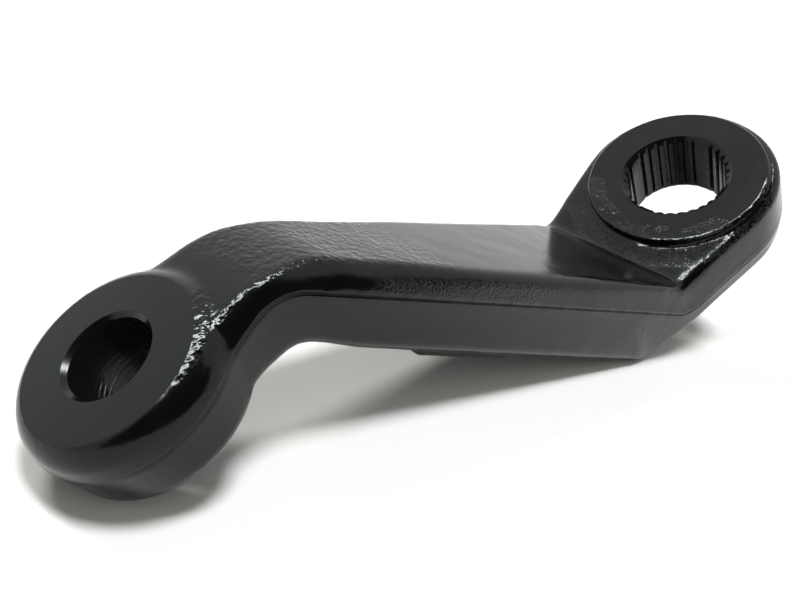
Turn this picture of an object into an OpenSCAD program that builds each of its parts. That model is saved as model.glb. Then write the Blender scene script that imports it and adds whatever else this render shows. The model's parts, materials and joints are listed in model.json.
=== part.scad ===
// Drop pitman arm: a one-piece steel forging that carries a steering shaft in its splined eye
// and a ball stud in its tapered eye.
// It is drawn with both bores upright and the shaft eye's seat at the origin, then laid down
// on its lower corner and the rim of the stud eye, as it rests on a bench. Sizes are in mm.

/* [Arm] */
// distance between the two bore axes, across the bores
eye_spacing = 152.4; // [120:0.1:190]
// rise of the stud eye's face over the shaft eye's seat, along the bores
drop = 103.5; // [80:0.5:125]
// slope of the bar's top side against the eye faces, in degrees
top_slope = 49.9; // [40:0.1:58]
// slope of the bar's underside against the eye faces, in degrees
under_slope = 53.7; // [44:0.1:62]
// how much each side of the bar runs in towards the stud eye, in degrees
side_taper = 8.6; // [6:0.1:10]
// where the bar's top side leaves the pad of the shaft eye
foot_x = 34.2; // [33:0.1:40]
// where the bar's underside leaves the bottom of the shaft eye
heel_x = 51.2; // [47:0.1:56]

/* [Bends] */
// hollow radius where the bar leaves the pad
foot_radius = 4; // [2:0.5:10]
// outer radius of the bend under the stud eye's neck
crest_radius = 30; // [20:1:45]
// radius of the corner that the arm rests on
heel_radius = 6; // [3:0.5:9]
// hollow radius below the neck
hollow_radius = 19; // [8:1:24]
// depth of the relief where the bar's underside runs into that hollow
relief_depth = 2; // [0:0.1:4]
// half length of that relief, along the arm
relief_reach = 8; // [6:1:20]
// how far before the hollow's corner the relief is deepest, along the arm
relief_lead = 6; // [4:1:20]
// hollow radius in plan between the bar's sides and the stud eye
neck_radius = 36; // [25:1:60]

/* [Shaft eye] */
// outside diameter at the parting line
shaft_eye_d = 62; // [56:0.5:66]
// height from the bottom face to the seat
shaft_eye_height = 24; // [22:0.5:28]
// diameter of the machined seat ring
seat_d = 54; // [48:0.2:54]
// height of the seat ring over the forged pad
seat_height = 1.8; // [1.5:0.1:3]
// bevel on the seat ring's outer edge
seat_bevel = 0.5; // [0.2:0.1:0.9]
// hollow radius at the seat ring's foot
seat_fillet = 0.8; // [0.4:0.1:0.9]
// rounding of the forged rim around the seat
shaft_rim_radius = 2.4; // [2:0.1:5]

/* [Splines] */
// diameter over the tips of the lands, in the bore
spline_minor_d = 29.9; // [28:0.05:32]
// radial depth of a groove
spline_depth = 0.95; // [0.5:0.05:1.4]
// spline places around the bore, a multiple of the blind lands
spline_count = 32; // [24:4:40]
// wide lands, each made by leaving one groove uncut
blind_lands = 4; // [1:1:4]
// share of the pitch that a land takes at its tip
land_share = 0.42; // [0.3:0.01:0.55]
// share of the pitch that a groove takes at its root
root_share = 0.3; // [0.15:0.01:0.4]
// radial size of the bevel at the seat's mouth
mouth_bevel = 1.65; // [0.5:0.05:2]
// depth of the bevel at the seat's mouth
mouth_bevel_depth = 1.2; // [0.5:0.05:2]
// radial size of the lead-in bevel at the bottom mouth, where the shaft enters
entry_bevel = 2.4; // [1:0.1:3]
// depth of the lead-in bevel at the bottom mouth
entry_bevel_depth = 2.4; // [1:0.1:3]

/* [Stud eye] */
// outside diameter at the parting line
stud_eye_d = 40.8; // [38:0.2:46]
// height from the bottom face to the top face
stud_eye_height = 18.2; // [16:0.2:22]
// how far the neck's top lies below the eye's face
neck_recess = 1.8; // [1:0.1:4]
// how far the neck's underside lies above the eye's bottom face
neck_lift = 0.6; // [0.4:0.1:3]
// rounding that the upper rim is forged with
stud_rim_radius = 6; // [5:0.1:7]
// depth faced off the top, which leaves an arris on that rounding
stud_facing = 0.8; // [0.6:0.1:1.2]
// large diameter of the tapered hole, at the top face
stud_hole_d = 16.3; // [12:0.1:20]
// taper of the hole, as change of diameter by length
stud_hole_taper = 0.125; // [0.08:0.005:0.16]
// length of the reamed taper, below which the hole stays as drilled
stud_taper_length = 11.5; // [8:0.5:16]
// radial size of the bevel at the hole's mouth
stud_hole_bevel = 0.8; // [0.3:0.05:1.2]

/* [Forging] */
// draft of the side walls, in degrees
draft = 5; // [2:0.5:8]
// rounding of the upper edges
upper_edge_radius = 4; // [2:0.1:5]
// lean of the bend's upper sides where they leave the parting line, in degrees
shoulder_lean = 18; // [10:1:25]
// lean of those sides at the arris along the top, in degrees
shoulder_arris = 58; // [50:1:70]
// where the rounding along the bar starts to turn into those sides
shoulder_x = 86; // [70:1:100]
// length over which it turns
shoulder_ease = 22; // [15:1:40]
// rounding of the lower edges
lower_edge_radius = 3.2; // [2:0.1:4]
// slope of the parting line along the bar, in degrees
parting_slope = 51.3; // [44:0.1:58]
// height of the parting line over the bottom of the shaft eye
parting_height = 8.4; // [6:0.1:10]
// radius of the parting line's two bends
parting_radius = 12; // [8:1:20]
// how far the parting line's lower bend lies beyond the bar's foot
parting_lead = 0.3; // [0:0.1:2]
// depth of the parting line below the stud eye's face
parting_depth = 6.6; // [6.4:0.1:9]
// how far the trimmed flash stands out of the walls
flash_height = 0.35; // [0.2:0.05:0.6]
// half width of the trimmed flash
flash_half_width = 0.8; // [0.5:0.1:1]

/* [Underside pad] */
// length along the bar
pad_length = 29.5; // [20:0.5:40]
// width across the bar at the end below the bend
pad_width = 19.6; // [12:0.1:20]
// height over the bar's underside
pad_height = 2.3; // [0.8:0.1:2.5]
// run-out of its sloped sides
pad_run_out = 2; // [1:0.1:4]
// run-out of its sloped ends
pad_end_run = 2.4; // [1:0.1:5]
// distance from the heel corner to the pad's near end, along the bar
pad_start = 64.5; // [50:0.5:75]

/* [Hidden] */
$fn = 96;
overlap = 0.6;
arc_steps = 22;
bar_steps = 56;
neck_steps = 12;

shaft_r = shaft_eye_d / 2;
stud_r = stud_eye_d / 2;
core_r = stud_r - overlap;
shaft_bottom = -shaft_eye_height;
stud_bottom = drop - stud_eye_height;
neck_top = drop - neck_recess;
stud_parting = drop - parting_depth;
shaft_parting = shaft_bottom + parting_height;
stud_low_rim = lower_edge_radius;
seat_root = upper_edge_radius;

// side-view lines, each a level, a slope and a level: [low, high, corner x, slope, low radius, high radius]
top_line = [-seat_height, neck_top, foot_x, top_slope, foot_radius, crest_radius];
neck_bottom = stud_bottom + neck_lift;
relief_x = heel_x + (neck_bottom - shaft_bottom) / tan(under_slope) - relief_lead;
under_line = [shaft_bottom, neck_bottom, heel_x, under_slope, heel_radius, hollow_radius];
parting_x = foot_x + parting_lead;
parting_line = [shaft_parting, stud_parting, parting_x, parting_slope, parting_radius, parting_radius];

// height of a side-view line at x, before any relief
function plain_level(l, x) =
    let (low_x = l[2] - l[4] * tan(l[3] / 2))
    let (top_x = l[2] + (l[1] - l[0]) / tan(l[3]))
    let (high_x = top_x + l[5] * tan(l[3] / 2))
    x <= low_x ? l[0]
    : x < low_x + l[4] * sin(l[3]) ? l[0] + l[4] - sqrt(l[4] ^ 2 - (x - low_x) ^ 2)
    : x < high_x - l[5] * sin(l[3]) ? l[0] + (x - l[2]) * tan(l[3])
    : x < high_x ? l[1] - l[5] + sqrt(l[5] ^ 2 - (high_x - x) ^ 2)
    : l[1];

// height of a side-view line at x
function level(l, x) =
    plain_level(l, x) + (l == under_line && abs(x - relief_x) < relief_reach
        ? relief_depth * (1 + cos(180 * (x - relief_x) / relief_reach)) / 2
        : 0);

// cosine of a side-view line's slope at x
function flatness(l, x) =
    let (low_x = l[2] - l[4] * tan(l[3] / 2))
    let (top_x = l[2] + (l[1] - l[0]) / tan(l[3]))
    let (high_x = top_x + l[5] * tan(l[3] / 2))
    x <= low_x || x >= high_x ? 1
    : x < low_x + l[4] * sin(l[3]) ? sqrt(1 - ((x - low_x) / l[4]) ^ 2)
    : x < high_x - l[5] * sin(l[3]) ? cos(l[3])
    : sqrt(1 - ((high_x - x) / l[5]) ^ 2);

// one point of a circle with its outward direction: [x, y, nx, ny]
function on_circle(x, r, a) = [x + r * cos(a), r * sin(a), cos(a), sin(a)];

// plan outline of one half at the parting line, from the shaft eye's end to the stud eye's end
side_a = 90 - side_taper;
side_start = shaft_r * [cos(side_a), sin(side_a)];
side_run = eye_spacing * sin(side_a) - sqrt((core_r + neck_radius) ^ 2
    - (shaft_r + neck_radius - eye_spacing * cos(side_a)) ^ 2);
side_end = side_start + side_run * [sin(side_a), -cos(side_a)];
neck_centre = side_end + neck_radius * [cos(side_a), sin(side_a)];
neck_a = atan2(neck_centre.y, neck_centre.x - eye_spacing);
half_outline = concat(
    [for (i = [0 : arc_steps]) on_circle(0, shaft_r, 180 + (side_a - 180) * i / arc_steps)],
    [for (i = [1 : bar_steps])
        let (p = side_start + (side_end - side_start) * i / bar_steps)
        [p.x, p.y, cos(side_a), sin(side_a)]],
    [for (i = [1 : neck_steps])
        let (a = side_a + (neck_a - side_a) * i / neck_steps)
        [neck_centre.x - neck_radius * cos(a), neck_centre.y - neck_radius * sin(a), cos(a), sin(a)]],
    [for (i = [1 : arc_steps]) on_circle(eye_spacing, core_r, neck_a * (1 - i / arc_steps))]
);
half_count = len(half_outline);
outline = concat(half_outline, [for (i = [half_count - 2 : -1 : 1])
    let (p = half_outline[i]) [p[0], -p[1], p[2], -p[3]]]);
count = len(outline);

// inset of the rounding's centre from the parting line, for a wall of height h and rounding r
function inset(h, r) = (r + (h - r) * sin(draft)) / cos(draft);

// rounding of the upper edges, which eases from the seat's rim into the bar's edges
function upper_radius(x) =
    shaft_rim_radius + (upper_edge_radius - shaft_rim_radius) * min(max(x / foot_x - 1, 0), 1);

// height of the wall between a side-view line and the parting line, square to the bar
function wall(l, x) = abs(level(l, x) - level(parting_line, x)) * flatness(l, x);

// point set in by u from the wall, and by v from the top or the underside
function inset_point(p, l, up, u, v) =
    let (x = p[0] - u * p[2])
    [x, p[1] - u * p[3], level(l, x) - up * v / flatness(l, x)];

// point of the lower edge rounding, at angle a from the wall to the flat side
function lower_point(p, a) =
    let (r = lower_edge_radius)
    inset_point(p, under_line, -1, inset(wall(under_line, p[0]), r) - r * cos(a), r * (1 - sin(a)));

// point i of the upper edge: a rounding along the bar, which turns into a leaning shoulder at the bend
function upper_point(p, i) =
    let (a = edge_angles[i])
    let (b = shoulder_arris + (shoulder_lean - shoulder_arris) * i / (len(edge_angles) - 1))
    let (h = wall(top_line, p[0]))
    let (r = upper_radius(p[0]))
    let (s = (h - flash_half_width) / (sin(shoulder_arris) - sin(shoulder_lean)))
    let (t = min(max((p[0] - shoulder_x) / shoulder_ease, 0), 1))
    let (w = t * t * (3 - 2 * t))
    let (u = (1 - w) * (inset(h, r) - r * cos(a)) + w * (draft_in + s * (cos(shoulder_lean) - cos(b))))
    let (v = (1 - w) * r * (1 - sin(a)) + w * s * (sin(shoulder_arris) - sin(b)))
    inset_point(p, top_line, 1, u, v);

// point of the parting ridge, at height v and standing out by u
function ridge_point(p, v, u) =
    let (x = p[0] + u * p[2])
    [x, p[1] + u * p[3], level(parting_line, x) + v / flatness(parting_line, x)];

edge_angles = [90, 72, 54, 36, 18, draft];
draft_in = flash_half_width * tan(draft);
rows = concat(
    [for (i = [0 : len(edge_angles) - 1]) [for (p = outline) upper_point(p, i)]],
    [[for (p = outline) ridge_point(p, flash_half_width, -draft_in)]],
    [[for (p = outline) ridge_point(p, 0, flash_height)]],
    [[for (p = outline) ridge_point(p, -flash_half_width, -draft_in)]],
    [for (i = [len(edge_angles) - 1 : -1 : 0])
        [for (p = outline) lower_point(p, edge_angles[i])]]
);
row_count = len(rows);

// triangles that join each row to the next, and the ruled top and bottom
wall_faces = [for (j = [0 : row_count - 2], i = [0 : count - 1], k = [0, 1])
    let (a = j * count + i)
    let (b = j * count + (i + 1) % count)
    k == 0 ? [a, b + count, b] : [a, a + count, b + count]];
function cap(base, flip) = [for (i = [0 : half_count - 2])
    let (f = i == 0 ? [0, 1, count - 1]
        : i == half_count - 2 ? [i, i + 1, count - i]
        : [i, i + 1, count - i - 1, count - i])
    [for (k = [0 : len(f) - 1]) base + f[flip ? len(f) - 1 - k : k]]];

// resting pose: the heel corner and the stud eye's lower rim both touch the bench
heel_mid = [heel_x - heel_radius * tan(under_slope / 2), shaft_bottom + heel_radius];
stud_low_inset = inset(stud_parting - stud_bottom, stud_low_rim);
rim_mid = [eye_spacing + stud_r - stud_low_inset, stud_bottom + stud_low_rim];
rest_vector = rim_mid - heel_mid;
rest_angle = atan2(rest_vector.y, rest_vector.x) - asin((stud_low_rim - heel_radius) / norm(rest_vector));
rest_drop = -heel_mid.x * sin(rest_angle) + heel_mid.y * cos(rest_angle) - heel_radius;
shaft_low_inset = inset(parting_height, lower_edge_radius);
shaft_rim_mid = [shaft_low_inset - shaft_r, shaft_bottom + lower_edge_radius];
rest_min = shaft_rim_mid.x * cos(rest_angle) + shaft_rim_mid.y * sin(rest_angle) - lower_edge_radius;
stud_high_inset = inset(parting_depth + stud_facing, stud_rim_radius);
stud_rim_mid = [eye_spacing + stud_r - stud_high_inset, drop + stud_facing - stud_rim_radius];
rest_max = stud_rim_mid.x * cos(rest_angle) + stud_rim_mid.y * sin(rest_angle) + stud_rim_radius;
echo(rest_angle = rest_angle, rest_drop = rest_drop, rest_mid = (rest_min + rest_max) / 2);

// forged bar with the shaft eye's outside and the neck
module forged_body()
    polyhedron(
        points = [for (r = rows, p = r) p],
        faces = concat(cap(0, false), wall_faces, cap((row_count - 1) * count, true)),
        convexity = 8
    );

// machined ring that the shaft's nut bears on
module seat_ring()
    rotate_extrude()
        polygon(concat(
            [[0, -seat_height - seat_root]],
            [[seat_d / 2, -seat_height - seat_root]],
            [for (a = [0 : 22.5 : 90])
                [seat_d / 2 + seat_fillet * (1 - sin(a)), -seat_height + seat_fillet * (1 - cos(a))]],
            [[seat_d / 2, -seat_bevel]],
            [[seat_d / 2 - seat_bevel, 0]],
            [[0, 0]]
        ));

// half section of the stud eye, from its axis out
arris_a = asin(1 - stud_facing / stud_rim_radius);
rim_angles = [for (i = [0 : 6]) arris_a + (draft - arris_a) * i / 6];
function rim(h, z, r, up, angles) = [for (a = angles)
    [stud_r - inset(h, r) + r * cos(a), z - up * r * (1 - sin(a))]];
module stud_boss()
    translate([eye_spacing, 0, 0])
        rotate_extrude()
            polygon(concat(
                [[0, drop]],
                rim(parting_depth + stud_facing, drop + stud_facing, stud_rim_radius, 1, rim_angles),
                [[stud_r - draft_in, stud_parting + flash_half_width]],
                [[stud_r + flash_height, stud_parting]],
                [[stud_r - draft_in, stud_parting - flash_half_width]],
                [for (i = [len(edge_angles) - 1 : -1 : 0])
                    rim(stud_parting - stud_bottom, stud_bottom, stud_low_rim, -1, edge_angles)[i]],
                [[0, stud_bottom]]
            ));

// raised bare pad on the underside of the bar, whose sides follow the bar's
pad_spread = tan(side_taper) * cos(under_slope);
function pad_half(x) = pad_width / 2 + (pad_length - x) * pad_spread;
module pad_plan(end, side)
    polygon([
        [-end, -pad_half(-end) - side],
        [pad_length + end, -pad_half(pad_length + end) - side],
        [pad_length + end, pad_half(pad_length + end) + side],
        [-end, pad_half(-end) + side]
    ]);
module underside_pad()
    translate([heel_x, 0, shaft_bottom])
        rotate([0, -under_slope, 0])
            translate([pad_start, 0, 0])
                hull() {
                    translate([0, 0, -0.1])
                        linear_extrude(height = pad_height)
                            pad_plan(pad_end_run, pad_run_out);
                    translate([0, 0, -pad_height])
                        linear_extrude(height = pad_height)
                            pad_plan(0, 0);
                }

// plan of the splined bore: a round hole with a groove at every place but the blind ones
module spline_plan() {
    pitch = 360 / spline_count;
    r = spline_minor_d / 2;
    tip = r * sin(pitch * (1 - land_share) / 2);
    root = r * sin(pitch * root_share / 2);
    circle(r = r);
    for (i = [0 : spline_count - 1])
        if (i % (spline_count / blind_lands) != 0)
            rotate(i * pitch)
                polygon([
                    [r - 1, -tip - 0.3],
                    [r, -tip],
                    [r + spline_depth, -root],
                    [r + spline_depth, root],
                    [r, tip],
                    [r - 1, tip + 0.3]
                ]);
}

// bevel of radial size b and depth d at a mouth that faces up
module bore_mouth(b, d) {
    r = spline_minor_d / 2;
    end = d * (1 + 0.1 / b);
    rotate_extrude()
        polygon([[0, 1], [r + b, 1], [r + b, 0], [r - 0.1, -end], [0, -end]]);
}

// splined bore through the shaft eye, with its mouths bevelled
module spline_bore() {
    translate([0, 0, shaft_bottom - 1])
        linear_extrude(height = shaft_eye_height + 2)
            spline_plan();
    bore_mouth(mouth_bevel, mouth_bevel_depth);
    translate([0, 0, shaft_bottom])
        mirror([0, 0, 1])
            bore_mouth(entry_bevel, entry_bevel_depth);
}

// tapered hole for the ball stud, wide at the top face, with its drilled end below
module stud_hole() {
    r = stud_hole_d / 2;
    slope = stud_hole_taper / 2;
    drilled_r = r - slope * stud_taper_length;
    translate([eye_spacing, 0, drop])
        rotate_extrude()
            polygon([
                [0, 1],
                [r + stud_hole_bevel, 1],
                [r + stud_hole_bevel, 0],
                [r - slope * stud_hole_bevel, -stud_hole_bevel],
                [drilled_r, -stud_taper_length],
                [drilled_r, -stud_eye_height - 1],
                [0, -stud_eye_height - 1]
            ]);
}

module pitman_arm()
    color([0.05, 0.05, 0.055])
        translate([-(rest_min + rest_max) / 2, 0, -rest_drop])
            rotate([0, rest_angle, 0])
                difference() {
                    union() {
                        forged_body();
                        seat_ring();
                        stud_boss();
                        underside_pad();
                    }
                    spline_bore();
                    stud_hole();
                }

pitman_arm();
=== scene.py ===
"""Drop pitman arm in gloss black paint: a forged skin, machined faces and bores, on a white table."""

from __future__ import annotations

import json
import logging
import math
from dataclasses import dataclass, field
from enum import Enum

import bpy
import numpy as np
from mathutils import Matrix, Vector


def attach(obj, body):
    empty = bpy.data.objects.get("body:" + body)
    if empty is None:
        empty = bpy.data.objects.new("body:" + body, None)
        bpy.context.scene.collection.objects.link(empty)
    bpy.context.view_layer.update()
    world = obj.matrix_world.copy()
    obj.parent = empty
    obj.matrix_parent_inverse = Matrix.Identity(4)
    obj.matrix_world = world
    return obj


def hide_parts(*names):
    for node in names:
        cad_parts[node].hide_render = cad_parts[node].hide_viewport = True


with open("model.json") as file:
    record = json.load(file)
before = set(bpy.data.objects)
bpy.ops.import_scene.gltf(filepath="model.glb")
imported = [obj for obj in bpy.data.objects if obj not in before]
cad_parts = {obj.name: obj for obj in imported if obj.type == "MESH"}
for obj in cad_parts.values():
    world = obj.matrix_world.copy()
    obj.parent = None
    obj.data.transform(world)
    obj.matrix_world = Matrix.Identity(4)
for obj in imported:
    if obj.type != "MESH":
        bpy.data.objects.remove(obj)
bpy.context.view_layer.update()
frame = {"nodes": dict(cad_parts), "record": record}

LOG = logging.getLogger("pitman_arm")
MM = 0.001
NODE = "pitman_arm"
BODY = "root"
PARTING = "parting"

# A Span is a start and an end. A Band is where a weight starts, is full, is full still and ends.
Piece = bpy.types.Object
Socket = bpy.types.NodeSocket
Place = tuple[float, float, float]
Span = tuple[float, float]
Band = tuple[float, float, float, float]
Colour = tuple[float, float, float, float]
Tint = tuple[float, float, float]

COOL: Colour = (0.94, 1.0, 1.0, 1.0)
BLACK: Colour = (0.0, 0.0, 0.0, 1.0)
WHITE: Colour = (1.0, 1.0, 1.0, 1.0)
NEUTRAL: Tint = (1.0, 1.0, 1.0)
WARM: Tint = (1.0, 0.985, 0.93)


@dataclass(frozen=True)
class BoreFrame:
    """The arm's own frame: its origin in the shaft eye's seat, X towards the stud eye, Z along the bores."""

    origin: Vector
    along: Vector
    up: Vector
    stud_x: float
    stud_bottom: float

    @classmethod
    def from_record(cls, record: dict) -> BoreFrame:
        """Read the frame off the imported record's mounts.

        Args:
            record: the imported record, with its mounts in metres.

        Returns:
            The bore frame, with the stud eye's place in millimetres.
        """
        mounts = {mount["name"]: mount for mount in record["mounts"]}
        up = Vector(mounts["shaft_nut_seat"]["axis"]).normalized()
        along = Vector((up.z, 0.0, -up.x))
        spline = Vector(mounts["shaft_spline"]["pos_m"])
        seat = Vector(mounts["shaft_nut_seat"]["pos_m"])
        origin = spline + up * (seat - spline).dot(up)
        stud_x = (Vector(mounts["stud_bore"]["pos_m"]) - origin).dot(along) / MM
        stud_bottom = (Vector(mounts["stud_nut_seat"]["pos_m"]) - origin).dot(up) / MM
        return cls(origin, along, up, stud_x, stud_bottom)

    @property
    def tilt(self) -> float:
        """Turn about Y from the bore frame to the table's frame.

        Returns:
            The angle, in radians.
        """
        return math.atan2(self.up.x, self.up.z)

    def point(self, x: float, y: float, z: float) -> Vector:
        """Turn a place in the bore frame, in millimetres, into a place on the table, in metres.

        Args:
            x: distance from the shaft's axis, towards the stud eye.
            y: distance to the side.
            z: height over the seat.

        Returns:
            The place on the table.
        """
        return self.origin + (self.along * x + Vector((0.0, y, 0.0)) + self.up * z) * MM

    def own(self, places: np.ndarray) -> np.ndarray:
        """Turn places on the table, in metres, into places in the bore frame, in millimetres.

        Args:
            places: an array of points, one a row.

        Returns:
            The same points in the bore frame.
        """
        axes = np.array([self.along, (0.0, 1.0, 0.0), self.up])
        return (places - np.array(self.origin)) @ axes.T / MM


@dataclass(frozen=True)
class PartingLine:
    """Side-view line where the two dies met: a level, a slope and a level.

    Sizes are in millimetres, and the slope is in degrees.
    """

    low: float = -15.6
    high: float = 96.9
    corner: float = 34.5
    slope: float = 51.3
    radius: float = 12.0
    slope_step: float = 0.05

    def height(self, x: np.ndarray) -> np.ndarray:
        """Height of the line over the seat, at distances along the arm.

        Args:
            x: distances from the shaft's axis.

        Returns:
            The heights.
        """
        slope = math.radians(self.slope)
        reach = self.radius * math.tan(slope / 2)
        bend = self.radius * math.sin(slope)
        start = self.corner - reach
        end = self.corner + (self.high - self.low) / math.tan(slope) + reach
        lower = self.low + self.radius - np.sqrt(np.maximum(self.radius**2 - (x - start) ** 2, 0.0))
        upper = self.high - self.radius + np.sqrt(np.maximum(self.radius**2 - (end - x) ** 2, 0.0))
        straight = self.low + (x - self.corner) * math.tan(slope)
        return np.select(
            [x <= start, x < start + bend, x < end - bend, x < end],
            [np.full_like(x, self.low), lower, straight, upper],
            self.high,
        )

    def distance(self, points: np.ndarray) -> np.ndarray:
        """Distance of points above the line, seen from the side.

        Args:
            points: places in the bore frame, one a row.

        Returns:
            The distances, below zero under the line.
        """
        x = points[:, 0]
        step = self.slope_step
        rise = (self.height(x + step) - self.height(x - step)) / (2.0 * step)
        return (points[:, 2] - self.height(x)) / np.sqrt(1.0 + rise**2)


class Workbench:
    """Blender's operators, used as hand tools on one object at a time. The merge gap is in millimetres."""

    MERGE_GAP: float = 0.001
    ROUND_SIDES: int = 192
    LEAST_WEIGHT: float = 0.01
    SMOOTH_SHARE: float = 0.5

    @staticmethod
    def take(piece: Piece) -> None:
        """Select one object alone and make it the active one.

        Args:
            piece: the object to select.
        """
        bpy.ops.object.select_all(action="DESELECT")
        piece.select_set(True)
        bpy.context.view_layer.objects.active = piece

    @staticmethod
    def copy_node(node: str, name: str) -> Piece:
        """Copy a CAD node's mesh into a new object, with its loose triangles merged.

        Args:
            node: the CAD node's name.
            name: the new object's name.

        Returns:
            The new object.
        """
        piece = bpy.data.objects.new(name, frame["nodes"][node].data.copy())
        bpy.context.collection.objects.link(piece)
        piece.data.materials.clear()
        Workbench.take(piece)
        bpy.ops.object.mode_set(mode="EDIT")
        bpy.ops.mesh.select_all(action="SELECT")
        bpy.ops.mesh.remove_doubles(threshold=Workbench.MERGE_GAP * MM)
        bpy.ops.object.mode_set(mode="OBJECT")
        return piece

    @staticmethod
    def round_bar(
        name: str, place: BoreFrame, x: float, radius: float, low: float, high: float,
        top: float | None = None,
    ) -> Piece:
        """Add an upright round bar on a bore's axis.

        Args:
            name: the new object's name.
            place: the bore frame that it stands in.
            x: distance of its axis from the shaft's, in millimetres.
            radius: its radius, in millimetres.
            low: height of its lower end, in millimetres.
            high: height of its upper end, in millimetres.
            top: radius at its upper end, or None where the bar is straight.

        Returns:
            The bar, with its place in its mesh.
        """
        bpy.ops.object.select_all(action="DESELECT")
        bpy.ops.mesh.primitive_cone_add(
            vertices=Workbench.ROUND_SIDES,
            radius1=radius * MM,
            radius2=(radius if top is None else top) * MM,
            depth=(high - low) * MM,
            location=place.point(x, 0.0, (low + high) / 2),
            rotation=(0.0, place.tilt, 0.0),
        )
        bar = bpy.context.active_object
        bar.name = name
        bpy.ops.object.transform_apply(location=True, rotation=True, scale=True)
        return bar

    @staticmethod
    def apply(piece: Piece, kind: str, **settings: object) -> None:
        """Add a modifier to a piece and apply it.

        Args:
            piece: the object to change.
            kind: Blender's name for the modifier.
            settings: the modifier's own values.
        """
        Workbench.take(piece)
        modifier = piece.modifiers.new(kind.lower(), kind)
        for name, value in settings.items():
            setattr(modifier, name, value)
        bpy.ops.object.modifier_apply(modifier=modifier.name)

    @staticmethod
    def cut(piece: Piece, tool: Piece) -> None:
        """Take a tool's volume away from a piece, whose new faces get the tool's material.

        Args:
            piece: the object that is cut.
            tool: the object that cuts, which is used up.
        """
        Workbench.apply(
            piece, "BOOLEAN", operation="DIFFERENCE", solver="EXACT", object=tool, material_mode="TRANSFER"
        )
        bpy.data.objects.remove(tool)

    @staticmethod
    def points(piece: Piece) -> np.ndarray:
        """Read a piece's points.

        Args:
            piece: the object to read.

        Returns:
            The points in metres, one a row.
        """
        flat = np.empty(len(piece.data.vertices) * 3)
        piece.data.vertices.foreach_get("co", flat)
        return flat.reshape(-1, 3)

    @staticmethod
    def normals(piece: Piece) -> np.ndarray:
        """Read which way a piece faces at its points.

        Args:
            piece: the object to read.

        Returns:
            The directions, one a row.
        """
        flat = np.empty(len(piece.data.vertices) * 3)
        piece.data.vertices.foreach_get("normal", flat)
        return flat.reshape(-1, 3)

    @staticmethod
    def weigh(piece: Piece, name: str, weights: np.ndarray) -> None:
        """Give a piece a vertex group.

        Args:
            piece: the object to change.
            name: the group's name.
            weights: a weight for each point, from 0 to 1.
        """
        group = piece.vertex_groups.new(name=name)
        for index in np.nonzero(weights > Workbench.LEAST_WEIGHT)[0]:
            group.add([int(index)], float(weights[index]), "REPLACE")

    @staticmethod
    def ease(piece: Piece, name: str, weights: np.ndarray, rounds: int) -> None:
        """Smooth a piece where its points are given weight.

        Args:
            piece: the object to smooth.
            name: a name for the smoothed points.
            weights: a weight for each point, from 0 to 1.
            rounds: how many times it is smoothed.
        """
        Workbench.weigh(piece, name, weights)
        Workbench.apply(piece, "SMOOTH", factor=Workbench.SMOOTH_SHARE, iterations=rounds, vertex_group=name)
        LOG.info("%s: %d points eased", name, int((weights > Workbench.LEAST_WEIGHT).sum()))

    @staticmethod
    def shade(piece: Piece, crease_angle: float) -> None:
        """Shade a piece smooth, with creases at sharp bends and where the finish changes.

        Args:
            piece: the object to shade.
            crease_angle: the bend that makes a crease, in degrees.
        """
        Workbench.take(piece)
        bpy.ops.object.shade_smooth_by_angle(angle=math.radians(crease_angle))
        finish_of: dict[tuple[int, int], int] = {}
        changes: set[tuple[int, int]] = set()
        for face in piece.data.polygons:
            for key in face.edge_keys:
                if finish_of.setdefault(key, face.material_index) != face.material_index:
                    changes.add(key)
        for edge in piece.data.edges:
            if edge.key in changes:
                edge.use_edge_sharp = True

    @staticmethod
    def join(piece: Piece, others: list[Piece]) -> None:
        """Join other objects into a piece.

        Args:
            piece: the object that they become part of.
            others: the objects to join.
        """
        Workbench.take(piece)
        for other in others:
            other.select_set(True)
        bpy.ops.object.join()


class Grain(Enum):
    """How much finer noise lies in a noise, in octaves."""

    COARSE = 1.0
    MIDDLE = 2.0
    FINE = 3.0


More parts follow.
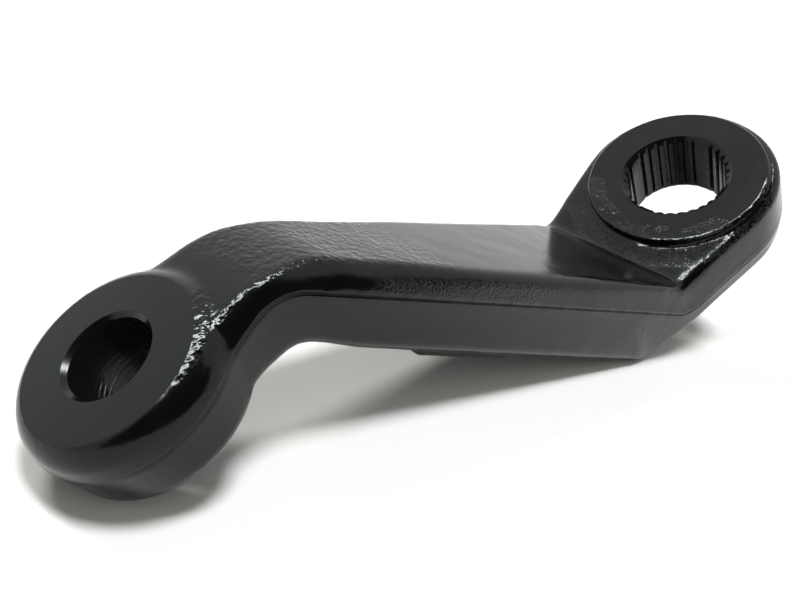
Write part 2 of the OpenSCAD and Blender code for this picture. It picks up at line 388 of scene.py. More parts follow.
class NodeSketch:
    """A node tree, with short calls for the nodes that the paints and the surround use."""

    CELL_SMOOTHNESS: float = 0.35
    SPECK_SPAN: Span = (0.52, 0.68)

    def __init__(self, tree: bpy.types.NodeTree, shader: str) -> None:
        """Take up a new node tree.

        Args:
            tree: the tree.
            shader: the name of its shader node.
        """
        self.tree = tree
        self.shader = tree.nodes[shader]

    def add(self, kind: str, **values: object) -> bpy.types.Node:
        """Add a node, set its properties and the values of its sockets.

        Args:
            kind: Blender's node type.
            values: properties by name, and sockets by their names with underscores.

        Returns:
            The new node.
        """
        node = self.tree.nodes.new(kind)
        for name, value in values.items():
            if hasattr(node, name):
                setattr(node, name, value)
            else:
                node.inputs[name.replace("_", " ")].default_value = value
        return node

    def link(self, source: Socket, target: Socket) -> None:
        """Join two sockets.

        Args:
            source: the socket that gives.
            target: the socket that takes.
        """
        self.tree.links.new(source, target)

    def place(self) -> Socket:
        """Read object coordinates.

        Returns:
            A vector socket with the place on the table, in metres.
        """
        return self.add("ShaderNodeTexCoord").outputs["Object"]

    def attribute(self, name: str) -> Socket:
        """Read a number that the mesh keeps for each point.

        Args:
            name: the attribute's name.

        Returns:
            The number's socket.
        """
        return self.add("ShaderNodeAttribute", attribute_name=name).outputs["Fac"]

    def split(self, vector: Socket) -> tuple[Socket, ...]:
        """Take a vector apart.

        Args:
            vector: the vector's socket.

        Returns:
            The sockets of its three numbers.
        """
        node = self.add("ShaderNodeSeparateXYZ")
        self.link(vector, node.inputs[0])
        return tuple(node.outputs)

    def bore_place(self, place: BoreFrame, x: float) -> Socket:
        """Object coordinates in a bore's own frame, in millimetres.

        Args:
            place: the arm's bore frame.
            x: distance of the bore's axis from the shaft's, in millimetres.

        Returns:
            A vector socket with its zero on the bore's axis, at the seat's height.
        """
        centre = place.point(x, 0.0, 0.0)
        shift = self.add("ShaderNodeVectorMath", operation="SUBTRACT")
        shift.inputs[1].default_value = centre
        self.link(self.place(), shift.inputs[0])
        turn = self.add("ShaderNodeVectorRotate", rotation_type="Y_AXIS", Angle=-place.tilt)
        self.link(shift.outputs[0], turn.inputs["Vector"])
        scale = self.add("ShaderNodeVectorMath", operation="SCALE")
        scale.inputs["Scale"].default_value = 1.0 / MM
        self.link(turn.outputs[0], scale.inputs[0])
        return scale.outputs[0]

    def radius(self, own: tuple[Socket, ...]) -> Socket:
        """Measure the distance from a bore's axis.

        Args:
            own: the three numbers of a place in the bore's own frame.

        Returns:
            The distance's socket, in the same unit.
        """
        squares = self.math("ADD", self.times(own[0], own[0]), self.times(own[1], own[1]))
        return self.math("POWER", squares, 0.5)

    def noise(self, vector: Socket, size: float, grain: Grain = Grain.MIDDLE) -> Socket:
        """Noise whose grains are about so many millimetres across.

        Args:
            vector: where the noise is read, in metres.
            size: size of a grain, in millimetres.
            grain: how much finer noise lies in it.

        Returns:
            The noise's value socket, from 0 to 1.
        """
        node = self.add("ShaderNodeTexNoise", Scale=1.0 / (size * MM), Detail=grain.value)
        self.link(vector, node.inputs["Vector"])
        return node.outputs["Fac"]

    def cells(self, vector: Socket, size: float) -> Socket:
        """Rounded cells with creases between them, as on leather.

        Args:
            vector: where the cells are read, in metres.
            size: size of a cell, in millimetres.

        Returns:
            A height socket, highest at the middle of a cell.
        """
        node = self.add(
            "ShaderNodeTexVoronoi", feature="SMOOTH_F1",
            Scale=1.0 / (size * MM), Smoothness=self.CELL_SMOOTHNESS,
        )
        self.link(vector, node.inputs["Vector"])
        return self.math("SUBTRACT", self.math("MULTIPLY", node.outputs["Distance"], -1.0), -1.0)

    def specks(self, vector: Socket, size: float) -> Socket:
        """Small separate grains on a level ground.

        Args:
            vector: where the grains are read, in metres.
            size: size of a grain, in millimetres.

        Returns:
            A height socket, 0 on the ground and 1 on a grain.
        """
        return self.ramp(self.noise(vector, size, Grain.COARSE), self.SPECK_SPAN)

    def ramp(self, value: Socket, span: Span, to: Span = (0.0, 1.0)) -> Socket:
        """Ease a value from one span to another.

        Args:
            value: the socket that is read.
            span: the values where the ease starts and ends.
            to: what it gives there.

        Returns:
            The eased value.
        """
        node = self.add("ShaderNodeMapRange", interpolation_type="SMOOTHSTEP")
        for name, number in zip(("From Min", "From Max", "To Min", "To Max"), span + to):
            node.inputs[name].default_value = number
        self.link(value, node.inputs["Value"])
        return node.outputs["Result"]

    def band(self, value: Socket, span: Band) -> Socket:
        """Weight that rises and falls over a span.

        Args:
            value: the socket that is read.
            span: where the weight starts, is full, is full still and ends.

        Returns:
            The weight, from 0 to 1.
        """
        return self.times(self.ramp(value, span[:2]), self.ramp(value, span[2:], (1.0, 0.0)))

    def times(self, first: Socket, *others: Socket) -> Socket:
        """Multiply several values.

        Args:
            first: the first value.
            others: the other values.

        Returns:
            The product's socket.
        """
        result = first
        for other in others:
            result = self.math("MULTIPLY", result, other)
        return result

    def math(self, operation: str, first: Socket, second: Socket | float = 0.0) -> Socket:
        """Combine two values, or work on one.

        Args:
            operation: Blender's name for the sum.
            first: the first value.
            second: the second value, a socket or a number, where the sum takes one.

        Returns:
            The result's socket.
        """
        node = self.add("ShaderNodeMath", operation=operation)
        self.link(first, node.inputs[0])
        if isinstance(second, (int, float)):
            node.inputs[1].default_value = second
        else:
            self.link(second, node.inputs[1])
        return node.outputs[0]

    def bump(self, height: Socket, depth: float, under: Socket | None = None) -> Socket:
        """Raise a surface by a height map.

        Args:
            height: the map, from 0 to 1.
            depth: height of a full step, in millimetres.
            under: the normal of the bump below this one, or None.

        Returns:
            The new normal.
        """
        node = self.add("ShaderNodeBump", Strength=1.0, Distance=depth * MM)
        self.link(height, node.inputs["Height"])
        if under is not None:
            self.link(under, node.inputs["Normal"])
        return node.outputs["Normal"]


class PaintSketch(NodeSketch):
    """A material's node tree. Sizes are in millimetres."""

    COAT_SIZE: float = 14.0
    SHEEN_SIZE: float = 9.0
    SHEEN_SPAN: Span = (0.3, 0.7)

    def __init__(self, name: str) -> None:
        """Start a material with a plain Principled shader.

        Args:
            name: the material's name.
        """
        self.material = bpy.data.materials.new(name)
        self.material.use_nodes = True
        super().__init__(self.material.node_tree, "Principled BSDF")

    def paint(self, thin: Colour, thick: Colour, gloss: Span, shine: float) -> None:
        """Set the shader's colour and gloss, both a little uneven.

        Args:
            thin: colour where the coat is thin.
            thick: colour where it is thick.
            gloss: least and greatest roughness.
            shine: the coat's specular level.
        """
        place = self.place()
        colour = self.add("ShaderNodeMix", data_type="RGBA")
        colour.inputs["A"].default_value = thin
        colour.inputs["B"].default_value = thick
        self.link(self.noise(place, self.COAT_SIZE, Grain.FINE), colour.inputs["Factor"])
        self.link(colour.outputs["Result"], self.shader.inputs["Base Color"])
        sheen = self.noise(place, self.SHEEN_SIZE, Grain.FINE)
        self.link(self.ramp(sheen, self.SHEEN_SPAN, gloss), self.shader.inputs["Roughness"])
        self.shader.inputs["Specular IOR Level"].default_value = shine
        self.shader.inputs["Specular Tint"].default_value = COOL


@dataclass(frozen=True)
class ForgedPaint:
    """Gloss black paint over the rough skin of the forging.

    Sizes are in millimetres, and spans lie along X on the table or, for the spatter, round the shaft.
    Facings and sides are parts of a unit normal.
    """

    name: str = "gloss_paint_on_forging"
    thin: Colour = (0.0016, 0.0017, 0.0019, 1.0)
    thick: Colour = (0.0030, 0.0031, 0.0034, 1.0)
    gloss: Span = (0.13, 0.2)
    shine: float = 0.24
    peel_size: float = 1.5
    peel_depth: float = 0.03
    wrinkle_size: float = 1.5
    wrinkle_grain: float = 0.9
    wrinkle_depth: float = 0.13
    wrinkle_facing: Span = (0.8, 0.93)
    wrinkle_span: Band = (24.0, 48.0, 78.0, 92.0)
    edge_size: float = 1.3
    edge_depth: float = 0.36
    edge_facing: Span = (0.2, 0.5)
    edge_side: Band = (0.04, 0.14, 0.5, 0.68)
    neck_span: Band = (56.0, 66.0, 97.0, 102.0)
    pad_span: Band = (-80.0, -71.0, -54.0, -49.0)
    pad_share: float = 0.45
    scale_size: float = 0.65
    scale_depth: float = 0.32
    scale_side: Span = (0.75, 0.92)
    scale_above: Span = (0.4, 1.2)
    scale_span: Band = (-4.0, 14.0, 52.0, 62.0)
    spatter_size: float = 0.55
    spatter_depth: float = 0.5
    spatter_span: Band = (26.5, 27.0, 30.0, 36.0)
    spatter_height: Band = (-4.0, -3.0, 0.0, 1.0)
    patch_size: float = 9.0
    patch_span: Span = (0.3, 0.5)
    crease_depth: float = 0.16
    crease_width: Span = (0.1, 0.6)
    # share of the shine left on the parting line: a painted shade that makes the line read dark
    painted_shade_shine: float = 0.3
    crease_span: Span = (68.0, 82.0)
    crease_fade: float = 0.7

    def material(self, place: BoreFrame) -> bpy.types.Material:
        """Build the paint's node material.

        Args:
            place: the arm's bore frame.

        Returns:
            The material.
        """
        sketch = PaintSketch(self.name)
        sketch.paint(self.thin, self.thick, self.gloss, self.shine)
        where = sketch.place()
        along = sketch.math("DIVIDE", sketch.split(where)[0], MM)
        facing = sketch.split(sketch.add("ShaderNodeNewGeometry").outputs["Normal"])
        parting = sketch.attribute(PARTING)
        normal = sketch.bump(sketch.noise(where, self.peel_size), self.peel_depth)

        crest = sketch.times(
            sketch.band(along, self.wrinkle_span), sketch.ramp(facing[2], self.wrinkle_facing),
            sketch.math(
                "ADD", sketch.cells(where, self.wrinkle_size), sketch.noise(where, self.wrinkle_grain)
            ),
        )
        normal = sketch.bump(crest, self.wrinkle_depth, normal)

        edges = sketch.times(
            sketch.math(
                "ADD", sketch.band(along, self.neck_span),
                sketch.math("MULTIPLY", sketch.band(along, self.pad_span), self.pad_share),
            ),
            sketch.band(facing[1], self.edge_side),
            sketch.ramp(facing[2], self.edge_facing), sketch.noise(where, self.edge_size, Grain.COARSE),
        )
        normal = sketch.bump(edges, self.edge_depth, normal)

        sideways = sketch.ramp(sketch.math("ABSOLUTE", facing[1]), self.scale_side)
        scale = sketch.times(
            sketch.band(along, self.scale_span), sideways, sketch.ramp(parting, self.scale_above),
            sketch.noise(where, self.scale_size, Grain.FINE),
        )
        normal = sketch.bump(scale, self.scale_depth, normal)

        own = sketch.split(sketch.bore_place(place, 0.0))
        radius = sketch.radius(own)
        spatter = sketch.times(
            sketch.band(radius, self.spatter_span), sketch.band(own[2], self.spatter_height),
            sketch.ramp(sketch.noise(where, self.patch_size), self.patch_span),
            sketch.specks(where, self.spatter_size),
        )
        normal = sketch.bump(spatter, self.spatter_depth, normal)

        # The parting line's groove, sunk by a bump. The same weight also paints shade along the line,
        # through the specular level below
        crease = sketch.math(
            "MAXIMUM", sketch.ramp(sketch.math("ABSOLUTE", parting), self.crease_width),
            sketch.ramp(along, self.crease_span, (0.0, self.crease_fade)),
        )
        normal = sketch.bump(crease, self.crease_depth, normal)
        # painted shade: towards the parting line the specular level falls to a share of the shine, so the
        # line reads darker, as if in shadow
        sketch.link(
            sketch.ramp(crease, (0.0, 1.0), (self.painted_shade_shine * self.shine, self.shine)),
            sketch.shader.inputs["Specular IOR Level"],
        )
        sketch.link(normal, sketch.shader.inputs["Normal"])
        return sketch.material


@dataclass(frozen=True)
class FacedPaint:
    """Satin black paint over a faced end. Sizes are in millimetres, from the shaft's axis."""

    name: str = "satin_paint_on_faced_end"
    thin: Colour = (0.0020, 0.0021, 0.0024, 1.0)
    thick: Colour = (0.0036, 0.0037, 0.0041, 1.0)
    gloss: Span = (0.13, 0.18)
    shine: float = 0.23
    grain_size: float = 1.1
    grain_depth: float = 0.008
    spatter_size: float = 0.5
    spatter_depth: float = 0.45
    spatter_span: Band = (20.5, 25.5, 26.6, 27.0)
    spatter_along: Span = (8.0, 18.0)
    patch_size: float = 5.0
    patch_span: Span = (0.44, 0.6)
    rim_start: float = 25.3
    rim_fall: float = 0.14
    rim_along: Band = (-12.0, -5.0, 39.0, 40.0)
    rim_side: Span = (4.0, 12.0)
    rim_lump_rise: float = 0.8
    rim_lump_size: float = 1.8
    rim_lump_depth: float = 0.3

    def material(self, place: BoreFrame) -> bpy.types.Material:
        """Build the paint's node material.

        Args:
            place: the arm's bore frame.

        Returns:
            The material.
        """
        sketch = PaintSketch(self.name)
        sketch.paint(self.thin, self.thick, self.gloss, self.shine)
        where = sketch.place()
        own = sketch.split(sketch.bore_place(place, 0.0))
        radius = sketch.radius(own)
        spatter = sketch.times(
            sketch.band(radius, self.spatter_span), sketch.ramp(own[0], self.spatter_along),
            sketch.ramp(sketch.noise(where, self.patch_size), self.patch_span),
            sketch.specks(where, self.spatter_size),
        )
        normal = sketch.bump(sketch.noise(where, self.grain_size), self.grain_depth)
        normal = sketch.bump(spatter, self.spatter_depth, normal)
        on_seat = sketch.times(sketch.band(own[0], self.rim_along), sketch.ramp(own[1], self.rim_side))
        past = sketch.math("MAXIMUM", sketch.math("SUBTRACT", radius, self.rim_start), 0.0)
        fall = sketch.math("MULTIPLY", sketch.times(past, past, on_seat), -self.rim_fall)
        # the fall is in millimetres already, so its step is one
        normal = sketch.bump(fall, 1.0, normal)
        lumps = sketch.times(
            sketch.ramp(radius, (self.rim_start, self.rim_start + self.rim_lump_rise)), on_seat,
            sketch.noise(where, self.rim_lump_size, Grain.COARSE),
        )
        sketch.link(sketch.bump(lumps, self.rim_lump_depth, normal), sketch.shader.inputs["Normal"])
        return sketch.material


@dataclass(frozen=True)
class BorePaint:
    """Thin black paint in a bore, with the rings that a drill leaves. Sizes are in millimetres."""

    name: str
    thin: Colour = (0.0030, 0.0031, 0.0034, 1.0)
    thick: Colour = (0.0060, 0.0061, 0.0066, 1.0)
    gloss: Span = (0.22, 0.3)
    shine: float = 0.24
    grain_size: float = 0.9
    grain_depth: float = 0.006
    wobble_size: float = 5.0
    wobble_reach: float = 1.2
    ring_step: float = 1.3
    ring_crest: Span = (0.55, 1.0)
    ring_depth: float = 0.0
    ring_span: Span = (0.0, 1.0)

    def material(self, place: BoreFrame) -> bpy.types.Material:
        """Build the paint's node material.

        Args:
            place: the arm's bore frame.

        Returns:
            The material.
        """
        sketch = PaintSketch(self.name)
        sketch.paint(self.thin, self.thick, self.gloss, self.shine)
        where = sketch.place()
        height = sketch.split(sketch.bore_place(place, place.stud_x))[2]
        wobble = sketch.math("MULTIPLY", sketch.noise(where, self.wobble_size), self.wobble_reach)
        turns = sketch.math("MULTIPLY", sketch.math("ADD", height, wobble), 2.0 * math.pi / self.ring_step)
        ring = sketch.ramp(sketch.math("SINE", turns), self.ring_crest)
        rings = sketch.times(ring, sketch.ramp(height, self.ring_span, (1.0, 0.0)))
        grain = sketch.bump(sketch.noise(where, self.grain_size), self.grain_depth)
        sketch.link(sketch.bump(rings, self.ring_depth, grain), sketch.shader.inputs["Normal"])
        return sketch.material


class Finish(Enum):
    """The arm's finishes, by their places in its list of materials."""

    FORGED = 0
    FACED = 1
    SPLINES = 2
    DRILLED = 3


@dataclass
class PitmanArm:
    """The arm: forged in one piece, then faced, bored and painted.

    Sizes are in millimetres in the bore frame, and leans are parts of a unit normal.
    """

    place: BoreFrame
    parting: PartingLine = field(default_factory=PartingLine)
    forged_paint: ForgedPaint = field(default_factory=ForgedPaint)
    faced_paint: FacedPaint = field(default_factory=FacedPaint)
    spline_paint: BorePaint = field(default_factory=lambda: BorePaint("thin_paint_on_splines"))
    drilled_paint: BorePaint = field(default_factory=lambda: BorePaint(
        "thin_paint_in_drilled_hole", ring_depth=0.16, ring_span=(94.0, 97.0)
    ))
    skin_step: float = 0.62
    skin_smoothing: int = 4
    wave_size: float = 11.0
    wave_depth: float = 0.14
    wave_octaves: int = 1
    stock: float = 0.5
    fill_gap: float = 0.1
    seat_radius: float = 27.0
    seat_margin: float = 0.2
    seat_stock_bottom: float = -6.0
    shaft_eye_height: float = 24.0
    shaft_plug_radius: float = 17.8
    shaft_cut_radius: float = 28.6
    stud_eye_height: float = 18.2
    stud_eye_radius: float = 20.4
    stud_plug_radius: float = 9.6
    stud_flat_radius: float = 17.2
    stud_stock: float = 0.8
    stud_stock_radius: float = 14.2
    neck_recess: float = 1.8
    facing_margin: float = 4.0
    tool_margin: float = 3.0
    fillet_reach: float = 3.6
    fillet_across: float = 1.3
    fillet_above: float = 1.6
    fillet_setback: float = 6.0
    fillet_half_width: float = 13.0
    fillet_fade: float = 4.0
    fillet_smoothing: int = 24
    edge_span: Span = (98.0, 136.0)
    edge_fades: Span = (8.0, 3.0)
    edge_clear: float = 3.0
    edge_clear_fade: float = 2.0
    edge_lean: float = 0.1
    edge_lean_fade: float = 0.15
    edge_smoothing: int = 10
    corner: Place = (32.5, 24.0, -3.0)
    corner_reach: float = 10.0
    corner_steepness: float = 2.0
    corner_smoothing: int = 50
    trim_reach: float = 3.0
    trim_smoothing: int = 40
    wall_lean: float = 0.3
    level_lean: float = 0.999
    crease_angle: float = 32.0

    @property
    def stud_face(self) -> float:
        """Height of the stud eye's face.

        Returns:
            The height over the seat.
        """
        return self.place.stud_bottom + self.stud_eye_height

    def bar(
        self, name: str, x: float, radius: float, low: float, high: float, top: float | None = None
    ) -> Piece:
        """Add a round bar that stands in the arm's bore frame.

        Args:
            name: the new object's name.
            x: distance of its axis from the shaft's.
            radius: its radius.
            low: height of its lower end.
            high: height of its upper end.
            top: radius at its upper end, or None where the bar is straight.

        Returns:
            The bar.
        """
        return Workbench.round_bar(name, self.place, x, radius, low, high, top)

    def blank(self) -> Piece:
        """Forge the blank: the arm with its bores filled and stock left on its faces.

        Returns:
            The blank, skinned with even faces.
        """
        blank = Workbench.copy_node(NODE, "pitman_arm_forging")
        gap = self.fill_gap
        stud_x = self.place.stud_x
        bottom = self.place.stud_bottom + gap
        face = self.stud_face
        top = face + self.stud_stock
        seat_radius = self.seat_radius + self.seat_margin
        Workbench.join(blank, [
            self.bar("shaft_fill", 0.0, self.shaft_plug_radius, gap - self.shaft_eye_height, self.stock),
            self.bar("seat_stock", 0.0, seat_radius, self.seat_stock_bottom, self.stock),
            self.bar("stud_fill", stud_x, self.stud_plug_radius, bottom, face),
            self.bar("stud_stock", stud_x, self.stud_flat_radius, face, top, self.stud_stock_radius),
        ])
        Workbench.apply(blank, "REMESH", mode="VOXEL", voxel_size=self.skin_step * MM)
        Workbench.apply(blank, "SMOOTH", factor=Workbench.SMOOTH_SHARE, iterations=self.skin_smoothing)
        LOG.info("blank: %d faces", len(blank.data.polygons))
        return blank

    def fillet(self, blank: Piece) -> None:
        """Ease the corner where the neck's top runs into the stud eye.

        Args:
            blank: the forged blank.
        """
        own = self.place.own(Workbench.points(blank))
        radius = np.hypot(own[:, 0] - self.place.stud_x, own[:, 1])
        across = np.abs(radius - self.stud_eye_radius) / self.fillet_reach
        above = np.abs(own[:, 2] - (self.stud_face - self.neck_recess)) / self.fillet_reach
        before = self.place.stud_x - self.fillet_setback - own[:, 0]
        inside = self.fillet_half_width - np.abs(own[:, 1])
        weights = np.clip(self.fillet_across - across, 0.0, 1.0)
        weights *= np.clip(self.fillet_above - above, 0.0, 1.0)
        weights *= np.clip(before / self.fillet_fade, 0.0, 1.0)
        weights *= np.clip(inside / self.fillet_fade, 0.0, 1.0)
        Workbench.ease(blank, "fillet", weights, self.fillet_smoothing)

    def ease_edges(self, blank: Piece) -> None:
        """Round the top edges of the neck and the bend.

        Args:
            blank: the forged blank.
        """
        own = self.place.own(Workbench.points(blank))
        normals = Workbench.normals(blank)
        up = normals @ np.array(self.place.up)
        side = np.abs(normals[:, 1])
        start, end = self.edge_span
        start_fade, end_fade = self.edge_fades
        clear = self.parting.distance(own) - self.edge_clear
        weights = np.clip((own[:, 0] - start) / start_fade, 0.0, 1.0)
        weights *= np.clip((end - own[:, 0]) / end_fade, 0.0, 1.0)
        weights *= np.clip(clear / self.edge_clear_fade, 0.0, 1.0)
        for lean in (side, up):
            weights *= np.clip((lean - self.edge_lean) / self.edge_lean_fade, 0.0, 1.0)
        Workbench.ease(blank, "edges", weights, self.edge_smoothing)

    def ease_corners(self, blank: Piece) -> None:
        """Round the two corners where the pad's edges run into the bar.

        Args:
            blank: the forged blank.
        """
        own = self.place.own(Workbench.points(blank))
        own[:, 1] = np.abs(own[:, 1])
        distances = np.linalg.norm(own - np.array(self.corner), axis=1)
        weights = np.clip(self.corner_steepness * (1.0 - distances / self.corner_reach), 0.0, 1.0)
        Workbench.ease(blank, "corners", weights, self.corner_smoothing)

    def trim(self, blank: Piece) -> None:
        """Dress the trimmed parting ridge down to an even line.

        Args:
            blank: the forged blank.
        """
        distances = np.abs(self.parting.distance(self.place.own(Workbench.points(blank))))
        Workbench.ease(blank, "flash", np.clip(self.trim_reach - distances, 0.0, 1.0), self.trim_smoothing)

    def wave(self, blank: Piece) -> None:
        """Sink the skin unevenly, as scale falling off the hot steel leaves it.

        Args:
            blank: the forged blank.
        """
        clouds = bpy.data.textures.new("forging_waves", "CLOUDS")
        clouds.noise_scale = self.wave_size * MM
        clouds.noise_depth = self.wave_octaves
        Workbench.apply(
            blank, "DISPLACE", texture=clouds, texture_coords="LOCAL", direction="NORMAL",
            mid_level=1.0, strength=self.wave_depth * MM,
        )

    def tool(self, name: str, x: float, radius: float, low: float, high: float) -> Piece:
        """Make a cutter that leaves the exact faces and bore of the CAD solid.

        Args:
            name: the cutter's name.
            x: distance of the bore's axis from the shaft's.
            radius: how far from the axis it cuts.
            low: its lower end.
            high: its upper end.

        Returns:
            The cutter.
        """
        cutter = self.bar(name, x, radius, low, high)
        Workbench.cut(cutter, Workbench.copy_node(NODE, "solid"))
        LOG.info("%s: %d faces", name, len(cutter.data.polygons))
        return cutter

    def machine(self, arm: Piece) -> None:
        """Face both eyes, and cut the splines and the stud hole.

        Args:
            arm: the forged arm, with its materials.
        """
        face = self.stud_face
        stud_x = self.place.stud_x
        room = self.facing_margin
        past = self.tool_margin
        bottom = self.place.stud_bottom - past
        cutters = [
            self.bar("stud_facing", stud_x, self.stud_eye_radius + room, face, face + room),
            self.tool("shaft_tool", 0.0, self.shaft_cut_radius, -self.shaft_eye_height - past, past),
            self.tool("stud_tool", stud_x, self.stud_plug_radius, bottom, face + past),
        ]
        for cutter in cutters:
            cutter.data.materials.clear()
            cutter.data.materials.append(arm.data.materials[Finish.FACED.value])
            for polygon in cutter.data.polygons:
                polygon.material_index = 0
            Workbench.cut(arm, cutter)

    def finish(self, arm: Piece) -> None:
        """Give each face its finish, shade the arm, and note how far its points are from the parting line.

        Args:
            arm: the machined arm.
        """
        for polygon in arm.data.polygons:
            if polygon.material_index != Finish.FACED.value:
                continue
            own = self.place.own(np.array(polygon.center)[None])[0]
            upright = abs(polygon.normal.dot(self.place.up)) < self.wall_lean
            if upright and own[0] < self.shaft_plug_radius:
                polygon.material_index = Finish.SPLINES.value
            elif upright and own[0] > self.place.stud_x - self.stud_plug_radius:
                polygon.material_index = Finish.DRILLED.value
        Workbench.shade(arm, self.crease_angle)
        for polygon in arm.data.polygons:
            level = abs(polygon.normal.dot(self.place.up)) > self.level_lean
            machined = polygon.material_index != Finish.FORGED.value
            if polygon.material_index == Finish.SPLINES.value or (level and machined):
                polygon.use_smooth = False
        distances = self.parting.distance(self.place.own(Workbench.points(arm)))
        attribute = arm.data.attributes.new(PARTING, "FLOAT", "POINT")
        attribute.data.foreach_set("value", distances.astype(np.float32))

    def build(self) -> Piece:
        """Forge, machine and paint the arm.

        Returns:
            The finished piece.
        """
        arm = self.blank()
        self.fillet(arm)
        self.ease_edges(arm)
        self.ease_corners(arm)
        self.trim(arm)
        self.wave(arm)
        arm.data.materials.clear()
        for paint in (self.forged_paint, self.faced_paint, self.spline_paint, self.drilled_paint):
            arm.data.materials.append(paint.material(self.place))
        self.machine(arm)
        self.finish(arm)
        arm.name = "pitman_arm_painted"
        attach(arm, BODY)
        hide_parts(NODE)
        LOG.info("%s: %d faces", arm.name, len(arm.data.polygons))
        return arm


@dataclass(frozen=True)
class SkyPatch:
    """A round patch of the studio's surround, by the direction of its middle and its radii, in degrees."""

    azimuth: float
    elevation: float
    inner: float
    outer: float

    @property
    def direction(self) -> Vector:
        """Direction of the patch's middle.

        Returns:
            The direction, one unit long.
        """
        azimuth = math.radians(self.azimuth)
        elevation = math.radians(self.elevation)
        level = math.cos(elevation)
        return Vector((level * math.cos(azimuth), level * math.sin(azimuth), math.sin(elevation)))


class SkySketch(NodeSketch):
    """The studio's surround as a node tree."""

    def __init__(self, name: str) -> None:
        """Start a surround with a plain white background.

        Args:
            name: the world's name.
        """
        self.world = bpy.data.worlds.new(name)
        self.world.use_nodes = True
        super().__init__(self.world.node_tree, "Background")
        self.shader.inputs["Color"].default_value = WHITE
        self.direction = self.add("ShaderNodeTexCoord").outputs["Generated"]

    def patch(self, patch: SkyPatch, to: Span) -> Socket:
        """Weight over a patch.

        Args:
            patch: the patch.
            to: the weight outside it and inside it.

        Returns:
            The weight's socket.
        """
        toward = self.add("ShaderNodeVectorMath", operation="DOT_PRODUCT")
        toward.inputs[1].default_value = patch.direction
        self.link(self.direction, toward.inputs[0])
        span = (math.cos(math.radians(patch.outer)), math.cos(math.radians(patch.inner)))
        return self.ramp(toward.outputs["Value"], span, to)


@dataclass(frozen=True)
class SoftLight:
    """A broad light that whitens the table and that the paint doesn't mirror. Angles are in degrees."""

    name: str
    turn: tuple[float, float]
    strength: float
    spread: float
    tint: Tint = NEUTRAL

    def build(self) -> Piece:
        """Hang the light, turned about X and Y from straight down.

        Returns:
            The light.
        """
        bpy.ops.object.select_all(action="DESELECT")
        turn = [math.radians(angle) for angle in self.turn]
        bpy.ops.object.light_add(type="SUN", rotation=(*turn, 0.0))
        light = bpy.context.active_object
        light.name = self.name
        light.data.energy = self.strength
        light.data.angle = math.radians(self.spread)
        light.data.color = self.tint
        light.visible_glossy = False
        return light


@dataclass(frozen=True)
class Lamp:
    """A lamp that the paint mirrors, over the table. Lengths are in metres, and the power in watts."""

    name: str
    place: Place
    size: tuple[float, float]
    power: float

    def build(self) -> Piece:
        """Hang the lamp, facing down.

        Returns:
            The lamp.
        """
        bpy.ops.object.select_all(action="DESELECT")
        bpy.ops.object.light_add(type="AREA", location=self.place)
        lamp = bpy.context.active_object
        lamp.name = self.name
        lamp.data.shape = "RECTANGLE"
        lamp.data.size, lamp.data.size_y = self.size
        lamp.data.energy = self.power
        lamp.visible_diffuse = False
        return lamp


class Brightness(Enum):
    """Brightness of the studio around the table, by what stands there."""

    WALLS = 1.0
    HORIZON = 1.06
    PANEL = 1.3
    DARK_ROOM = 0.012


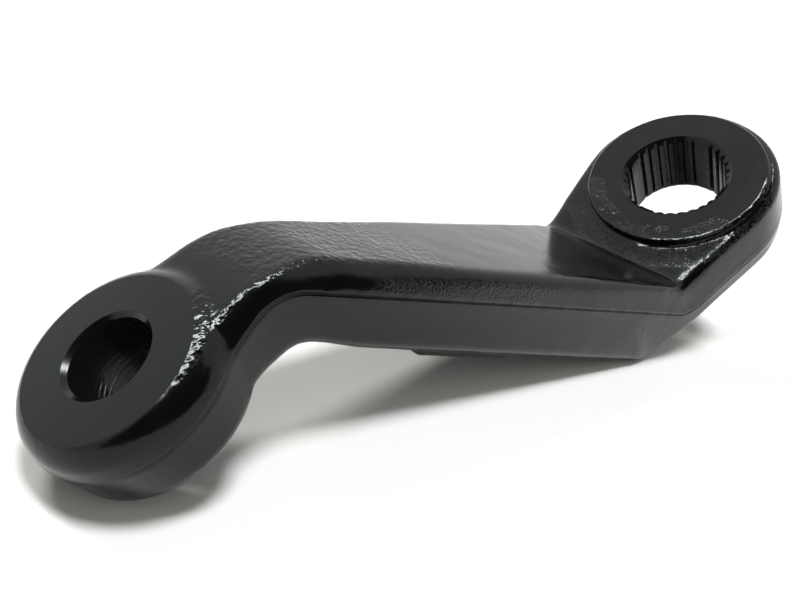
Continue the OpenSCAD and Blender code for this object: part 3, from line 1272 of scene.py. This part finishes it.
@dataclass
class Studio:
    """The white table and backdrop, the bright surround with dark rooms by the camera, and the lights.

    Lengths are in metres, and the stain's size is in millimetres.
    """

    table_size: float = 6.0
    table_white: float = 0.9
    table_stain: Tint = (0.985, 0.985, 0.98)
    stain_size: float = 40.0
    table_roughness: float = 0.6
    table_shine: float = 0.2
    backdrop_radius: float = 12.0
    backdrop_strength: float = 1.2
    horizon_span: Span = (0.04, 0.2)
    panel: SkyPatch = SkyPatch(-88.0, 30.0, 18.0, 46.0)
    dark_rooms: tuple[SkyPatch, ...] = (
        SkyPatch(60.0, 30.0, 46.0, 52.0),
        SkyPatch(112.0, 18.0, 22.0, 28.0),
        SkyPatch(20.0, 18.0, 16.0, 24.0),
    )
    lamps: tuple[Lamp, ...] = (
        Lamp("overhead_lamp", (0.05, -0.03, 0.9), (0.45, 0.16), 9.5),
        Lamp("side_lamp", (0.55, -0.15, 0.9), (0.5, 0.3), 16.5),
    )
    soft_lights: tuple[SoftLight, ...] = (
        SoftLight("front_light", (-12.0, 5.0), 2.95, 15.0),
        SoftLight("back_light", (32.0, 12.0), 1.5, 18.0, WARM),
        SoftLight("fill_light", (-48.0, 30.0), 1.0, 80.0, WARM),
    )

    def table(self) -> Piece:
        """Lay the table's white top under the arm.

        Returns:
            The table's top.
        """
        bpy.ops.object.select_all(action="DESELECT")
        bpy.ops.mesh.primitive_plane_add(size=self.table_size)
        top = bpy.context.active_object
        top.name = "table_top"
        sketch = PaintSketch("white_table")
        shade = sketch.add("ShaderNodeMix", data_type="RGBA")
        white = self.table_white
        shade.inputs["A"].default_value = (white, white, white, 1.0)
        shade.inputs["B"].default_value = (*(white * share for share in self.table_stain), 1.0)
        sketch.link(sketch.noise(sketch.place(), self.stain_size), shade.inputs["Factor"])
        sketch.link(shade.outputs["Result"], sketch.shader.inputs["Base Color"])
        sketch.shader.inputs["Roughness"].default_value = self.table_roughness
        sketch.shader.inputs["Specular IOR Level"].default_value = self.table_shine
        top.data.materials.append(sketch.material)
        return top

    def backdrop(self) -> Piece:
        """Hang a white backdrop all round, which neither lights the arm nor shows in its paint.

        Returns:
            The backdrop.
        """
        bpy.ops.object.select_all(action="DESELECT")
        bpy.ops.mesh.primitive_uv_sphere_add(radius=self.backdrop_radius)
        dome = bpy.context.active_object
        dome.name = "backdrop"
        sketch = PaintSketch("white_backdrop")
        sketch.shader.inputs["Base Color"].default_value = BLACK
        sketch.shader.inputs["Specular IOR Level"].default_value = 0.0
        sketch.shader.inputs["Emission Color"].default_value = WHITE
        sketch.shader.inputs["Emission Strength"].default_value = self.backdrop_strength
        dome.data.materials.append(sketch.material)
        dome.visible_diffuse = False
        dome.visible_glossy = False
        dome.visible_shadow = False
        return dome

    def surround(self) -> bpy.types.World:
        """Set bright walls all round for the paint to mirror, apart from the dark rooms by the camera.

        Returns:
            The world.
        """
        sky = SkySketch("studio")
        height = sky.split(sky.direction)[2]
        levels = (Brightness.HORIZON.value, Brightness.WALLS.value)
        light = sky.ramp(height, self.horizon_span, levels)
        light = sky.times(light, sky.patch(self.panel, (1.0, Brightness.PANEL.value)))
        for room in self.dark_rooms:
            light = sky.times(light, sky.patch(room, (1.0, Brightness.DARK_ROOM.value)))
        sky.link(light, sky.shader.inputs["Strength"])
        bpy.context.scene.world = sky.world
        sky.world.cycles_visibility.diffuse = False
        return sky.world

    def build(self) -> None:
        """Set up the table, what stands around it, and the lights."""
        self.table()
        self.backdrop()
        self.surround()
        for light in self.soft_lights + self.lamps:
            light.build()
        bpy.context.scene.view_settings.view_transform = "Standard"
        LOG.info("studio: table, backdrop, surround, lamps and soft lights")


@dataclass(frozen=True)
class PhotoCamera:
    """A camera at the photograph's place. Lengths are in millimetres, and the picture is 800 by 600."""

    stand: Place = (156.31, 109.5, 95.45)
    aim: Place = (-11.26, -40.79, -1.29)
    roll: float = 12.855
    focal_pixels: float = 780.0
    picture_width: float = 800.0
    sensor_width: float = 36.0
    clip_start: float = 10.0

    def build(self) -> Piece:
        """Stand the camera up and make it the scene's own.

        Returns:
            The camera.
        """
        stand = Vector(self.stand) * MM
        look = Vector(self.aim) * MM - stand
        bpy.ops.object.select_all(action="DESELECT")
        bpy.ops.object.camera_add(location=stand)
        camera = bpy.context.active_object
        camera.name = "photo_camera"
        turn = look.to_track_quat("-Z", "Y").to_matrix() @ Matrix.Rotation(math.radians(self.roll), 3, "Z")
        camera.rotation_euler = turn.to_euler()
        camera.data.sensor_fit = "HORIZONTAL"
        camera.data.sensor_width = self.sensor_width
        camera.data.lens = self.sensor_width * self.focal_pixels / self.picture_width
        camera.data.clip_start = self.clip_start * MM
        bpy.context.scene.camera = camera
        return camera


def main() -> None:
    """Build the camera, the studio and the arm."""
    logging.basicConfig(level=logging.INFO, format="%(name)s: %(message)s")
    PhotoCamera().build()
    Studio().build()
    arm = PitmanArm(BoreFrame.from_record(frame["record"])).build()
    LOG.info("built %s", arm.name)


if __name__ == "__main__":
    main()
